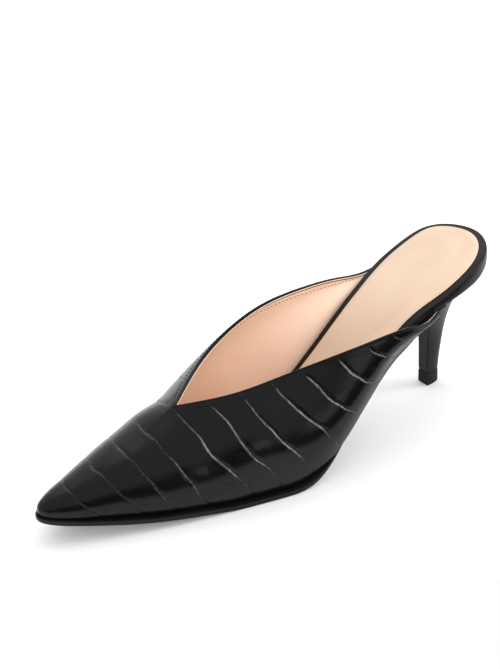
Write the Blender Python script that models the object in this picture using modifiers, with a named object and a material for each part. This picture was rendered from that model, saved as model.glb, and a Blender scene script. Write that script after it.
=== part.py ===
"""Left shoe of a pair of high heels: a backless pointed mule with a deep throat and a slim covered heel.

Lengths are in metres. The toe points to +X, the outer side of the foot is +Y, and the floor is at zero.
Inside the functions x runs from 0 at the back of the seat to LENGTH at the toe. Each object is then
moved back, so that the world's origin lies in the middle of the sole's flat spot under the ball.
"""

import math
from collections import namedtuple

import bmesh
import bpy
import numpy as np

# Driving dimensions of the last
LENGTH = 0.2385
BALL_WIDTH = 0.062
HEEL_RISE = 0.0665
TOE_SPRING = 0.0116
VAMP_HEIGHT = 0.0375
VAMP_LENGTH = 0.0675

# Thicknesses of the pieces, and how they lie to each other
UPPER_WALL = 0.0018
BOARD_THICK = 0.0035
SEAT_THICK = 0.0076
SOLE_THICK = 0.0026
SHANK_SOLE_THICK = 0.0012
SOLE_WELT = 0.0025
TOE_WELT = 0.0010
SOCK_THICK = 0.0009
SOCK_INSET = 0.0040
CLEARANCE = 0.0003
TUCK = 0.0019
WAIST_SPREAD = 0.0013
WING_END_TUCK = 0.0034
WING_END_HEIGHT = 0.0040
BOARD_POINT_BACK = 0.0036
SOCK_POINT_BACK = 0.0090

# The heel and its top piece. Places are measured from the back of the seat.
BREAST = 0.0420
HEEL_INSET = 0.0006
TIP_HEIGHT = 0.0073
TIP_BACK = 0.0225
TIP_LENGTH = 0.0091
TIP_WIDTH = 0.0070
TIP_BEVEL = 0.0004

# Where the wings of the upper end, as shares of LENGTH
LATERAL_WING_END = 0.203
MEDIAL_WING_END = 0.181

# Where one form passes into the next: the first and last place of each soft step, as shares of LENGTH
BOARD_THINS = (0.05, 0.21)
BOARD_DRAWS_IN = (0.15, 0.27)
BOARD_POINT_NARROWS = (0.80, 1.00)
SOCK_POINT_NARROWS = (0.75, 1.00)
SOLE_THICKENS = (0.38, 0.55)
WELT_STARTS = (0.40, 0.54)
WELT_NARROWS = (0.85, 1.00)
SPREAD_STARTS = (0.20, 0.30)
SPREAD_ENDS = (0.42, 0.56)
WING_TUCK_ENDS = (0.20, 0.27)
TUCK_ENDS = (0.26, 0.34)

# Height of the board's underside behind the flat spot, as a share of HEEL_RISE
BedRow = namedtuple("BedRow", "along rise")
ARCH = (
    BedRow(0.00, 1.000),
    BedRow(0.07, 0.949),
    BedRow(0.15, 0.894),
    BedRow(0.24, 0.785),
    BedRow(0.34, 0.562),
    BedRow(0.44, 0.250),
    BedRow(0.52, 0.040),
    BedRow(0.57, 0.000),
)

# The same ahead of the flat spot, as a share of TOE_SPRING
SPRING = (
    BedRow(0.66, 0.000),
    BedRow(0.72, 0.110),
    BedRow(0.79, 0.270),
    BedRow(0.86, 0.450),
    BedRow(0.93, 0.700),
    BedRow(1.00, 1.000),
)

# Half widths of the outline as shares of BALL_WIDTH, before the sine that rounds both ends.
# The turn goes from 0 at the back of the seat to 1 at the toe.
PlanRow = namedtuple("PlanRow", "turn lateral medial")
OUTLINE = (
    PlanRow(0.0, 0.845, 0.965),
    PlanRow(0.1, 0.845, 0.925),
    PlanRow(0.2, 0.775, 0.637),
    PlanRow(0.3, 0.616, 0.425),
    PlanRow(0.4, 0.560, 0.270),
    PlanRow(0.5, 0.605, 0.330),
    PlanRow(0.6, 0.530, 0.520),
    PlanRow(0.7, 0.455, 0.550),
    PlanRow(0.8, 0.360, 0.470),
    PlanRow(0.9, 0.345, 0.375),
    PlanRow(1.0, 0.335, 0.335),
)

# The topline from the point of the throat (step 0) to the end of each wing (step 1): how far it leans
# out over the outline, as a share of BALL_WIDTH, and how high it stands over a straight line between
# its two ends, as a share of VAMP_HEIGHT
ToplineRow = namedtuple("ToplineRow", "step lateral_flare lateral_lift medial_flare medial_lift")
TOPLINE = (
    ToplineRow(1 / 6, -0.293, 0.048, -0.253, 0.134),
    ToplineRow(2 / 6, -0.277, 0.040, -0.021, 0.225),
    ToplineRow(3 / 6, -0.161, 0.095, 0.129, 0.255),
    ToplineRow(4 / 6, 0.005, 0.146, 0.147, 0.217),
    ToplineRow(5 / 6, 0.102, 0.116, 0.103, 0.094),
    ToplineRow(0.94, 0.069, 0.000, 0.055, 0.002),
)

# Crown of the vamp from the throat (step 0) to the toe (step 1), as a share of VAMP_HEIGHT, before the
# power of the sine that rounds the nose
CrownRow = namedtuple("CrownRow", "step height")
CROWN = (
    CrownRow(0.00, 1.000),
    CrownRow(0.12, 0.890),
    CrownRow(0.25, 0.790),
    CrownRow(0.50, 0.645),
    CrownRow(0.75, 0.480),
    CrownRow(1.00, 0.370),
)
NOSE_POWER = 0.65

# Angles of the wall in degrees from upright: out at the foot of the wall, in at the topline
LeanRow = namedtuple("LeanRow", "along foot crown")
LEAN = (
    LeanRow(0.20, 5.0, 15.0),
    LeanRow(0.40, 15.0, 25.0),
    LeanRow(0.55, 15.0, 50.0),
    LeanRow(0.717, 23.0, 71.0),
    LeanRow(1.00, 18.0, 90.0),
)
FOOT_HANDLE = 0.485
CROWN_HANDLE = 0.530

# The least rise of a wall that lies nearly flat, as a share of its span, and where the ridge becomes
# level across, as steps from the throat (0) to the toe (1)
LEAST_RISE = 0.4
RIDGE_LEVELS = (-0.1, 0.2)

# The heel's sections: height from the top piece (0) to the seat (1). The other columns say how far each
# line has gone from the top piece's outline (0) to the seat's (1).
HeelRow = namedtuple("HeelRow", "height back front side seat")
HEEL = (
    HeelRow(0.00, 0.000, 0.000, 0.000, 0.00),
    HeelRow(0.10, 0.030, 0.000, 0.000, 0.00),
    HeelRow(0.24, 0.095, -0.010, 0.005, 0.00),
    HeelRow(0.38, 0.165, 0.000, 0.030, 0.00),
    HeelRow(0.51, 0.250, 0.050, 0.105, 0.00),
    HeelRow(0.64, 0.365, 0.140, 0.220, 0.00),
    HeelRow(0.76, 0.505, 0.280, 0.355, 0.06),
    HeelRow(0.85, 0.660, 0.410, 0.490, 0.20),
    HeelRow(0.91, 0.805, 0.540, 0.650, 0.45),
    HeelRow(0.96, 0.932, 0.710, 0.825, 0.75),
    HeelRow(1.00, 1.000, 1.000, 1.000, 1.00),
)

# Power that squares the rounding of the top piece's back
TIP_SQUARENESS = 0.8

# Rounding of the edges, as pairs of how far out and how far up (0 underside, 1 top)
BOARD_EDGE = ((-0.0010, 0.0), (-0.0002, 0.15), (0.0, 0.5), (-0.0002, 0.85), (-0.0009, 1.0))
SOLE_EDGE = ((-0.0007, 0.0), (0.0, 0.3), (0.0, 0.8), (-0.0002, 1.0))
SOCK_EDGE = ((0.0, 0.0), (0.0, 0.4), (-0.0008, 1.0))

# How finely the surfaces are divided
PLATE_STEPS = 64
WING_STEPS = 20
VAMP_STEPS = 18
WALL_STEPS = 12
HEEL_STEPS = 12
TURN_STEP = 1e-4
WELD_DISTANCE = 1e-6
SHARP_ANGLE = math.radians(50)

# Base colour, roughness and metallic value of each finish
Finish = namedtuple("Finish", "colour roughness metallic")
BLACK_LEATHER = Finish((0.012, 0.012, 0.014, 1.0), 0.28, 0.0)
WRAP_LEATHER = Finish((0.020, 0.019, 0.021, 1.0), 0.35, 0.0)
BLACK_SOLE = Finish((0.016, 0.015, 0.016, 1.0), 0.45, 0.0)
NUDE_LEATHER = Finish((0.88, 0.68, 0.50, 1.0), 0.42, 0.0)
TIP_RUBBER = Finish((0.013, 0.013, 0.013, 1.0), 0.60, 0.0)


def hermite(knots, values, slopes, at):
    """Cubic pieces through the knots with the given slopes, carried on straight past both ends."""
    inside = np.clip(at, knots[0], knots[-1])
    row = np.clip(np.searchsorted(knots, inside, side="right") - 1, 0, len(knots) - 2)
    gap = knots[row + 1] - knots[row]
    t = (inside - knots[row]) / gap
    curve = values[row] * (1 + 2 * t) * (1 - t) ** 2 + values[row + 1] * t**2 * (3 - 2 * t)
    curve += gap * t * (1 - t) * (slopes[row] * (1 - t) - slopes[row + 1] * t)
    past = at - inside
    return curve + past * np.where(past < 0, slopes[0], slopes[-1])


def smooth(knots, values, at, start=None, end=None):
    """Cubic spline through the knots. An end with no slope of its own runs out unbent."""
    knots = np.asarray(knots, float)
    values = np.asarray(values, float)
    gap = np.diff(knots)
    rise = np.diff(values) / gap
    count = len(knots)
    matrix = np.zeros((count, count))
    right = np.zeros(count)
    for row in range(1, count - 1):
        matrix[row, row - 1 : row + 2] = gap[row], 2 * (gap[row - 1] + gap[row]), gap[row - 1]
        right[row] = 3 * (gap[row] * rise[row - 1] + gap[row - 1] * rise[row])
    matrix[0, :2] = (2, 1) if start is None else (1, 0)
    right[0] = 3 * rise[0] if start is None else start
    matrix[-1, -2:] = (1, 2) if end is None else (0, 1)
    right[-1] = 3 * rise[-1] if end is None else end
    return hermite(knots, values, np.linalg.solve(matrix, right), np.asarray(at, float))


def ease(value, low, high):
    """0 below low, 1 above high and a soft step between them."""
    t = np.clip((value - low) / (high - low), 0.0, 1.0)
    return t * t * (3 - 2 * t)


def column(rows, name):
    return [getattr(row, name) for row in rows]


def bed(x):
    """Height of the board's underside: the arch, the flat spot and the toe spring."""
    share = x / LENGTH
    arch = smooth(column(ARCH, "along"), column(ARCH, "rise"), share, end=0.0)
    spring = smooth(column(SPRING, "along"), column(SPRING, "rise"), share, start=0.0)
    return SOLE_THICK + CLEARANCE + HEEL_RISE * arch + TOE_SPRING * spring


def board_top(x):
    """The wrapped board is thick under the seat and thin from the waist on."""
    return bed(x) + SEAT_THICK + (BOARD_THICK - SEAT_THICK) * ease(x / LENGTH, *BOARD_THINS)


def sole_top(x):
    return bed(x) - CLEARANCE


def sole_under(x):
    """The outsole is skived thin under the waist."""
    thick = SHANK_SOLE_THICK + (SOLE_THICK - SHANK_SOLE_THICK) * ease(x / LENGTH, *SOLE_THICKENS)
    return sole_top(x) - thick


def sock_under(x):
    return board_top(x) + CLEARANCE


def sock_top(x):
    return sock_under(x) + SOCK_THICK


def board_reach(x):
    """The board's edge shows at the seat and draws in by the upper's wall ahead of it."""
    return -(UPPER_WALL + CLEARANCE) * ease(x / LENGTH, *BOARD_DRAWS_IN)


def sole_reach(x):
    """The outsole stands out beyond the upper at the forefoot and lies inside it under the waist."""
    waist = WAIST_SPREAD - UPPER_WALL - 2 * CLEARANCE
    welt = SOLE_WELT + (TOE_WELT - SOLE_WELT) * ease(x / LENGTH, *WELT_NARROWS)
    return waist + (welt - waist) * ease(x / LENGTH, *WELT_STARTS)


def sock_reach(x):
    """The board shows as an even margin all round the sock."""
    return board_reach(x) - SOCK_INSET


def foot_reach(x):
    """Offset of the foot of the upper's wall, which passes just outside the board."""
    share = x / LENGTH
    spread = WAIST_SPREAD * ease(share, *SPREAD_STARTS) * (1 - ease(share, *SPREAD_ENDS))
    return UPPER_WALL + CLEARANCE + board_reach(x) + spread


def foot_height(x):
    """Foot of the upper's wall: on the outsole at the forefoot, past its edge under the waist."""
    tuck = TUCK + (WING_END_TUCK - TUCK) * (1 - ease(x / LENGTH, *WING_TUCK_ENDS))
    return bed(x) - tuck * (1 - ease(x / LENGTH, *TUCK_ENDS))


def turn_of(x):
    return np.arccos(np.clip(1 - 2 * x / LENGTH, -1, 1)) / math.pi


def rim(turns, side, reach=None):
    """One side of the outline in plan, moved square to itself by reach, a function of x."""
    name = "lateral" if side > 0 else "medial"

    def spot(turn):
        width = BALL_WIDTH * smooth(column(OUTLINE, "turn"), column(OUTLINE, name), turn)
        x = LENGTH * (1 - np.cos(math.pi * turn)) / 2
        return np.column_stack([x, side * width * np.sin(math.pi * turn)])

    plan = spot(turns)
    if reach is None:
        return plan
    along = spot(turns + TURN_STEP) - spot(turns - TURN_STEP)
    out = np.column_stack([-side * along[:, 1], side * along[:, 0]])
    out /= np.linalg.norm(out, axis=1)[:, None]
    return plan + out * reach(plan[:, 0])[:, None]


def topline(side):
    """Points of the topline's spline, and the spline itself as a function of x: (y, z)."""
    start = LENGTH - VAMP_LENGTH
    end = LENGTH * (LATERAL_WING_END if side > 0 else MEDIAL_WING_END)
    name = "lateral" if side > 0 else "medial"
    steps = np.array([0.0, *column(TOPLINE, "step"), 1.0])
    x = start + (end - start) * steps
    edge = rim(turn_of(x), side)[:, 1]
    flare = BALL_WIDTH * np.array(column(TOPLINE, name + "_flare"))
    ends = rim(turn_of(x), side, foot_reach)[:, 1]
    y = np.concatenate([[0.0], edge[1:-1] + side * flare, [ends[-1]]])
    low = foot_height(x[:1]) + VAMP_HEIGHT
    high = foot_height(x[-1:]) + WING_END_HEIGHT
    lift = VAMP_HEIGHT * np.array([0.0, *column(TOPLINE, name + "_lift"), 0.0])
    z = low + (high - low) * steps + lift

    def curve(at):
        step = (at - start) / (end - start)
        return smooth(steps, y, step), smooth(steps, z, step)

    return curve


def crown(x):
    """Ridge of the vamp ahead of the throat: (y, z)."""
    start = LENGTH - VAMP_LENGTH
    step = (x - start) / VAMP_LENGTH
    share = smooth(column(CROWN, "step"), column(CROWN, "height"), step)
    round_off = np.sin(math.pi * turn_of(x)) / np.sin(math.pi * turn_of(start))
    return np.zeros_like(x), foot_height(x) + VAMP_HEIGHT * share * np.clip(round_off, 0, 1) ** NOSE_POWER


def wall(x, side, y_top, z_top):
    """Sections of the upper's wall, from its foot to the topline or the crown, as cubic curves."""
    turns = turn_of(x)
    foot = rim(turns, side, foot_reach)
    x_foot = foot[:, 0]
    z_foot = foot_height(x_foot)
    share = x / LENGTH
    along = column(LEAN, "along")
    throat = LENGTH - VAMP_LENGTH
    lean_foot = np.radians(smooth(along, column(LEAN, "foot"), share))
    lean_crown = np.radians(smooth(along, column(LEAN, "crown"), np.minimum(x, throat) / LENGTH))
    level_off = ease((x - throat) / VAMP_LENGTH, *RIDGE_LEVELS)
    lean_crown += (math.pi / 2 - lean_crown) * level_off
    low = np.column_stack([foot[:, 1], z_foot])
    high = np.column_stack([y_top, z_top])
    span = np.linalg.norm(high - low, axis=1)
    rise = np.maximum(z_top - z_foot, LEAST_RISE * span)
    foot_way = np.column_stack([side * np.sin(lean_foot), np.cos(lean_foot)])
    crown_way = np.column_stack([-side * np.sin(lean_crown), np.cos(lean_crown)])
    lower = low + foot_way * (FOOT_HANDLE * rise)[:, None]
    upper = high - crown_way * (CROWN_HANDLE * span)[:, None]
    t = np.linspace(0, 1, WALL_STEPS + 1)[None, :, None]
    curve = (1 - t) ** 3 * low[:, None] + 3 * (1 - t) ** 2 * t * lower[:, None]
    curve = curve + 3 * (1 - t) * t**2 * upper[:, None] + t**3 * high[:, None]
    x_wall = x[:, None] + (x_foot - x)[:, None] * (1 - t[..., 0]) ** 2
    return np.concatenate([x_wall[..., None], curve], axis=2)


def grid_faces(bm, points, flip):
    """Adds a grid of points as quads, its rows along the shoe and its columns up the wall."""
    rows = [[bm.verts.new(spot) for spot in line] for line in points]
    for first, second in zip(rows, rows[1:]):
        for a, b, c, d in zip(first, first[1:], second[1:], second):
            bm.faces.new((d, c, b, a) if flip else (a, b, c, d))


def add_object(bm, name, finish):
    """Makes the mesh an object with its own material, moved so that the origin lies under the ball."""
    bmesh.ops.remove_doubles(bm, verts=bm.verts, dist=WELD_DISTANCE)
    mesh = bpy.data.meshes.new(name)
    bm.to_mesh(mesh)
    bm.free()
    mesh.shade_smooth()
    mesh.set_sharp_from_angle(angle=SHARP_ANGLE)
    material = bpy.data.materials.new(name)
    material.use_nodes = True
    shader = material.node_tree.nodes["Principled BSDF"]
    shader.inputs["Base Color"].default_value = finish.colour
    shader.inputs["Roughness"].default_value = finish.roughness
    shader.inputs["Metallic"].default_value = finish.metallic
    mesh.materials.append(material)
    obj = bpy.data.objects.new(name, mesh)
    obj.location.x = -LENGTH * (ARCH[-1].along + SPRING[0].along) / 2
    bpy.data.collections["high_heel_shoe"].objects.link(obj)
    return obj


def close_loft(bm, rings):
    """Skins closed rings of equal count, and closes the first and the last with strips across.

    A ring runs forward along one side and back along the other, so its strips join opposite points.
    """
    loops = [[bm.verts.new(spot) for spot in ring] for ring in rings]
    count = len(loops[0])
    for low, high in zip(loops, loops[1:]):
        for a in range(count):
            b = (a + 1) % count
            bm.faces.new((low[b], low[a], high[a], high[b]))
    for loop, up in ((loops[0], False), (loops[-1], True)):
        for a in range(count // 2 - 1):
            corners = (loop[a], loop[a + 1], loop[count - 2 - a], loop[count - 1 - a])
            bm.faces.new(corners[::-1] if up else corners)


def make_plate(name, finish, turns, reach, edge, under, over):
    """Closed plate that follows the bottom of the shoe, with a rounded edge."""
    rings = []
    for out, up in edge:
        sides = [rim(turns, side, lambda x: reach(x) + out) for side in (1, -1)]
        plan = np.concatenate([sides[0], sides[1][::-1]])
        height = under(plan[:, 0]) * (1 - up) + over(plan[:, 0]) * up
        rings.append(np.column_stack([plan, height]))
    bm = bmesh.new()
    close_loft(bm, rings)
    return add_object(bm, name, finish)


def draw_back(obj, amount, places):
    """Pulls a plate's point back from the nose, so that the wall's inside clears it."""
    for vertex in obj.data.vertices:
        x = vertex.co.x
        moved = x - amount * float(ease(x / LENGTH, *places))
        vertex.co.z += float(board_top(np.array([moved]))[0] - board_top(np.array([x]))[0])
        vertex.co.x = moved


def make_board():
    turns = np.linspace(0, 1, PLATE_STEPS + 1)
    board = make_plate(
        "insole_board", WRAP_LEATHER, turns, board_reach, BOARD_EDGE, bed, board_top
    )
    draw_back(board, BOARD_POINT_BACK, BOARD_POINT_NARROWS)


def make_sock():
    turns = np.linspace(0, 1, PLATE_STEPS + 1)
    sock = make_plate(
        "sock_lining", NUDE_LEATHER, turns, sock_reach, SOCK_EDGE, sock_under, sock_top
    )
    draw_back(sock, SOCK_POINT_BACK, SOCK_POINT_NARROWS)


def make_outsole():
    back = float(turn_of(BREAST + 2 * CLEARANCE))
    turns = np.linspace(0, 1, PLATE_STEPS + 1)
    half_station = turns[1] / 2
    turns = np.concatenate([[back], turns[turns > back + half_station]])
    make_plate("outsole", BLACK_SOLE, turns, sole_reach, SOLE_EDGE, sole_under, sole_top)


def make_upper():
    """One sheet: the vamp over both sides, and a wing behind the throat on each. Solidify gives the wall."""
    start = LENGTH - VAMP_LENGTH
    ahead = LENGTH * (1 - np.cos(math.pi * np.linspace(turn_of(start), 1, VAMP_STEPS + 1))) / 2
    bm = bmesh.new()
    for side, end in ((1, LATERAL_WING_END), (-1, MEDIAL_WING_END)):
        behind = np.linspace(end * LENGTH, start, WING_STEPS + 1)
        curve = topline(side)
        grid_faces(bm, wall(behind, side, *curve(behind)), side < 0)
        grid_faces(bm, wall(ahead, side, *crown(ahead)), side < 0)
    upper = add_object(bm, "upper", BLACK_LEATHER)
    skin = upper.modifiers.new("wall", "SOLIDIFY")
    skin.thickness = UPPER_WALL
    skin.offset = -1
    skin.use_even_offset = True


def heel_ring(row):
    """One section of the heel: a round back and a flat breast, tilted to the seat near the top."""
    along = np.sin(math.pi / 2 * np.linspace(0, 1, HEEL_STEPS + 1))
    share = 1 - np.sqrt(np.clip(1 - along**2, 0, 1))
    seat_back = HEEL_INSET
    back = TIP_BACK + (seat_back - TIP_BACK) * row.back
    tip_front = TIP_BACK + TIP_LENGTH
    front = tip_front + (BREAST - tip_front) * row.front
    x = back + (front - back) * share
    seat_x = BREAST * share
    tip_side = TIP_WIDTH / 2 * along**TIP_SQUARENESS
    parts = []
    for side in (1, -1):
        seat_side = np.abs(rim(turn_of(seat_x), side)[:, 1]) * (1 - HEEL_INSET / (BALL_WIDTH / 2))
        parts.append(side * (tip_side + (seat_side - tip_side) * row.side))
    plan_x = np.concatenate([x, x[::-1]])
    plan_y = np.concatenate([parts[0], parts[1][::-1]])
    foot = TIP_HEIGHT + CLEARANCE
    level = bed(np.array([BREAST / 2]))[0]
    seat = level + (bed(plan_x) - level) * row.seat - CLEARANCE
    return np.column_stack([plan_x, plan_y, foot + (seat - foot) * row.height])


def make_heel():
    bm = bmesh.new()
    close_loft(bm, [heel_ring(row) for row in HEEL])
    add_object(bm, "heel", WRAP_LEATHER)


def make_heel_tip():
    bm = bmesh.new()
    ring = heel_ring(HEEL[0])
    low = ring.copy()
    low[:, 2] = 0.0
    high = ring.copy()
    high[:, 2] = TIP_HEIGHT
    close_loft(bm, [low, high])
    tip = add_object(bm, "heel_tip", TIP_RUBBER)
    bevel = tip.modifiers.new("edge", "BEVEL")
    bevel.width = TIP_BEVEL
    bevel.segments = 2
    bevel.limit_method = "ANGLE"
    bevel.angle_limit = SHARP_ANGLE


def clear_scene():
    for obj in list(bpy.data.objects):
        bpy.data.objects.remove(obj, do_unlink=True)
    shoe = bpy.data.collections.new("high_heel_shoe")
    bpy.context.scene.collection.children.link(shoe)


clear_scene()
make_outsole()
make_board()
make_sock()
make_upper()
make_heel()
make_heel_tip()
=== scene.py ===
import math

import bpy
import numpy as np
from mathutils import Matrix, Vector


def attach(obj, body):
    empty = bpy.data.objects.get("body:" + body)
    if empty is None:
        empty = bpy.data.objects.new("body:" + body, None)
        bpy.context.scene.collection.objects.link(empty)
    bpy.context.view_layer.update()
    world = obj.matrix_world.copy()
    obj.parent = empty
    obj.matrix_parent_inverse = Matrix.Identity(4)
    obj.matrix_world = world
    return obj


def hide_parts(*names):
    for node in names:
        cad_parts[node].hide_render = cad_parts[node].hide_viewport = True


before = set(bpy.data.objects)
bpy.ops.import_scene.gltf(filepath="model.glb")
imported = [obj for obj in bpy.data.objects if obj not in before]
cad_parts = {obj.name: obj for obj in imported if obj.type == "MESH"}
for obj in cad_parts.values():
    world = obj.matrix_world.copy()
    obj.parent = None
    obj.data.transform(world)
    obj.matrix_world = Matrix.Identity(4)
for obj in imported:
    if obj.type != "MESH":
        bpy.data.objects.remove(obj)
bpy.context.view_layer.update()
print("frame loaded")

# Sizes of the shoe in metres, the same as the solids have. x runs from 0 at the back of the seat to
# length at the toe, and toFrame moves a finished grid so that the origin lies under the ball.
shoe = {
    "length": 0.2385,
    "ballWidth": 0.062,
    "heelRise": 0.0665,
    "toeSpring": 0.0116,
    "vampHeight": 0.0375,
    "vampLength": 0.0675,
    "upperWall": 0.0018,
    "boardThick": 0.0035,
    "seatThick": 0.0076,
    "soleThick": 0.0026,
    "shankSoleThick": 0.0012,
    "soleWelt": 0.0025,
    "toeWelt": 0.0010,
    "sockThick": 0.0009,
    "sockInset": 0.0040,
    "clearance": 0.0003,
    "tuck": 0.0019,
    "waistSpread": 0.0013,
    "wingEndTuck": 0.0034,
    "wingEndHeight": 0.0040,
    "boardPointBack": 0.0036,
    "sockPointBack": 0.0090,
    "flatSpotMiddle": 0.615,  # share of the length
    "wingEnds": {1: 0.203, -1: 0.181},  # shares of the length, lateral and medial
}
length = shoe["length"]
throatX = length - shoe["vampLength"]

# along, rise: the board's underside behind the flat spot, and ahead of it
archRows = np.array([
    (0.00, 1.000), (0.07, 0.949), (0.15, 0.894), (0.24, 0.785),
    (0.34, 0.562), (0.44, 0.250), (0.52, 0.040), (0.57, 0.000),
])
springRows = np.array([(0.66, 0.0), (0.72, 0.11), (0.79, 0.27), (0.86, 0.45), (0.93, 0.7), (1.0, 1.0)])

# turn, lateral and medial half width: the outline in plan
outlineRows = np.array([
    (0.0, 0.845, 0.965), (0.1, 0.845, 0.925), (0.2, 0.775, 0.637), (0.3, 0.616, 0.425),
    (0.4, 0.560, 0.270), (0.5, 0.605, 0.330), (0.6, 0.530, 0.520), (0.7, 0.455, 0.550),
    (0.8, 0.360, 0.470), (0.9, 0.345, 0.375), (1.0, 0.335, 0.335),
])

# step, lateral flare and lift, medial flare and lift: the topline from the throat to the wing's end
toplineRows = np.array([
    (1 / 6, -0.293, 0.048, -0.253, 0.134), (2 / 6, -0.277, 0.040, -0.021, 0.225),
    (3 / 6, -0.161, 0.095, 0.129, 0.255), (4 / 6, 0.005, 0.146, 0.147, 0.217),
    (5 / 6, 0.102, 0.116, 0.103, 0.094), (0.94, 0.069, 0.000, 0.055, 0.002),
])

# step, height: the ridge of the vamp from the throat to the toe
crownRows = np.array([(0, 1), (0.12, 0.89), (0.25, 0.79), (0.5, 0.645), (0.75, 0.48), (1, 0.37)])

# along, lean at the foot and lean at the top of the wall in degrees
leanRows = np.array([(0.2, 5, 15), (0.4, 15, 25), (0.55, 15, 50), (0.717, 23, 71), (1, 18, 90)])
wallShape = {"nosePower": 0.65, "footHandle": 0.485, "crownHandle": 0.530, "leastRise": 0.4}


def spline(knots, values, at, start=None, end=None):
    # Cubic spline through the knots. An end with no slope of its own runs out unbent, then straight on.
    knots, values, at = (np.asarray(a, float) for a in (knots, values, at))
    gap = np.diff(knots)
    rise = np.diff(values) / gap
    count = len(knots)
    matrix = np.zeros((count, count))
    right = np.zeros(count)
    inner = np.arange(1, count - 1)
    matrix[inner, inner - 1] = gap[1:]
    matrix[inner, inner] = 2 * (gap[:-1] + gap[1:])
    matrix[inner, inner + 1] = gap[:-1]
    right[inner] = 3 * (gap[1:] * rise[:-1] + gap[:-1] * rise[1:])
    matrix[0, :2] = (2, 1) if start is None else (1, 0)
    right[0] = 3 * rise[0] if start is None else start
    matrix[-1, -2:] = (1, 2) if end is None else (0, 1)
    right[-1] = 3 * rise[-1] if end is None else end
    slopes = np.linalg.solve(matrix, right)
    inside = np.clip(at, knots[0], knots[-1])
    row = np.clip(np.searchsorted(knots, inside, side="right") - 1, 0, count - 2)
    t = (inside - knots[row]) / gap[row]
    curve = values[row] * (1 + 2 * t) * (1 - t) ** 2 + values[row + 1] * t**2 * (3 - 2 * t)
    curve += gap[row] * t * (1 - t) * (slopes[row] * (1 - t) - slopes[row + 1] * t)
    past = at - inside
    return curve + past * np.where(past < 0, slopes[0], slopes[-1])


def ease(value, low, high):
    # 0 below low, 1 above high, and a soft step between them.
    t = np.clip((value - low) / (high - low), 0, 1)
    return t * t * (3 - 2 * t)


def bump(value, middle, width):
    # A soft hill of height 1 about middle.
    return np.exp(-(((value - middle) / width) ** 2))


def bed(x):
    # Height of the board's underside.
    back = spline(*archRows.T, x / length, end=0)
    front = spline(*springRows.T, x / length, start=0)
    return shoe["soleThick"] + shoe["clearance"] + shoe["heelRise"] * back + shoe["toeSpring"] * front


def boardTop(x):
    thin = ease(x / length, 0.05, 0.21)
    return bed(x) + shoe["seatThick"] + (shoe["boardThick"] - shoe["seatThick"]) * thin


def soleUnder(x):
    thicker = ease(x / length, 0.38, 0.55)
    thick = shoe["shankSoleThick"] + (shoe["soleThick"] - shoe["shankSoleThick"]) * thicker
    return bed(x) - shoe["clearance"] - thick


def boardReach(x):
    return -(shoe["upperWall"] + shoe["clearance"]) * ease(x / length, 0.15, 0.27)


def soleReach(x):
    waist = shoe["waistSpread"] - shoe["upperWall"] - 2 * shoe["clearance"]
    welt = shoe["soleWelt"] + (shoe["toeWelt"] - shoe["soleWelt"]) * ease(x / length, 0.85, 1)
    return waist + (welt - waist) * ease(x / length, 0.40, 0.54)


def footReach(x):
    share = x / length
    spread = shoe["waistSpread"] * ease(share, 0.20, 0.30) * (1 - ease(share, 0.42, 0.56))
    return shoe["upperWall"] + shoe["clearance"] + boardReach(x) + spread


def footHeight(x):
    # Foot of the upper's wall: on the sole at the forefoot, past its edge under the waist.
    share = x / length
    tuck = shoe["tuck"] + (shoe["wingEndTuck"] - shoe["tuck"]) * (1 - ease(share, 0.20, 0.27))
    return bed(x) - tuck * (1 - ease(share, 0.26, 0.34))


def turnOf(x):
    return np.arccos(np.clip(1 - 2 * x / length, -1, 1)) / math.pi


def rim(turns, side, reach=None):
    # One side of the outline in plan: half width times a sine, moved square to itself by reach(x).
    def spot(turn):
        width = shoe["ballWidth"] * spline(outlineRows[:, 0], outlineRows[:, 1 if side > 0 else 2], turn)
        x = length * (1 - np.cos(math.pi * turn)) / 2
        return np.column_stack([x, side * width * np.sin(math.pi * turn)])

    plan = spot(turns)
    if reach is None:
        return plan
    step = 1e-4
    along = spot(turns + step) - spot(turns - step)
    out = np.column_stack([-side * along[:, 1], side * along[:, 0]])
    out /= np.linalg.norm(out, axis=1)[:, None]
    return plan + out * reach(plan[:, 0])[:, None]


def topline(side, at):
    # (y, z) of the topline over x: splines through the throat, the rows above and the wing's end.
    end = length * shoe["wingEnds"][side]
    column = 1 if side > 0 else 3
    steps = np.array([0, *toplineRows[:, 0], 1])
    x = throatX + (end - throatX) * steps
    edge = rim(turnOf(x), side)[:, 1]
    foot = rim(turnOf(x), side, footReach)[:, 1]
    y = np.array([0, *(edge[1:-1] + side * shoe["ballWidth"] * toplineRows[:, column]), foot[-1]])
    low = footHeight(x[:1]) + shoe["vampHeight"]
    high = footHeight(x[-1:]) + shoe["wingEndHeight"]
    z = low + (high - low) * steps + shoe["vampHeight"] * np.array([0, *toplineRows[:, column + 1], 0])
    step = (at - throatX) / (end - throatX)
    return spline(steps, y, step), spline(steps, z, step)


def crown(x):
    # (y, z) of the vamp's ridge: a spline, rounded off at the nose by a power of a sine.
    share = spline(*crownRows.T, (x - throatX) / shoe["vampLength"])
    roundOff = np.clip(np.sin(math.pi * turnOf(x)) / np.sin(math.pi * turnOf(throatX)), 0, 1)
    z = footHeight(x) + shoe["vampHeight"] * share * roundOff ** wallShape["nosePower"]
    return np.zeros_like(x), z


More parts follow.
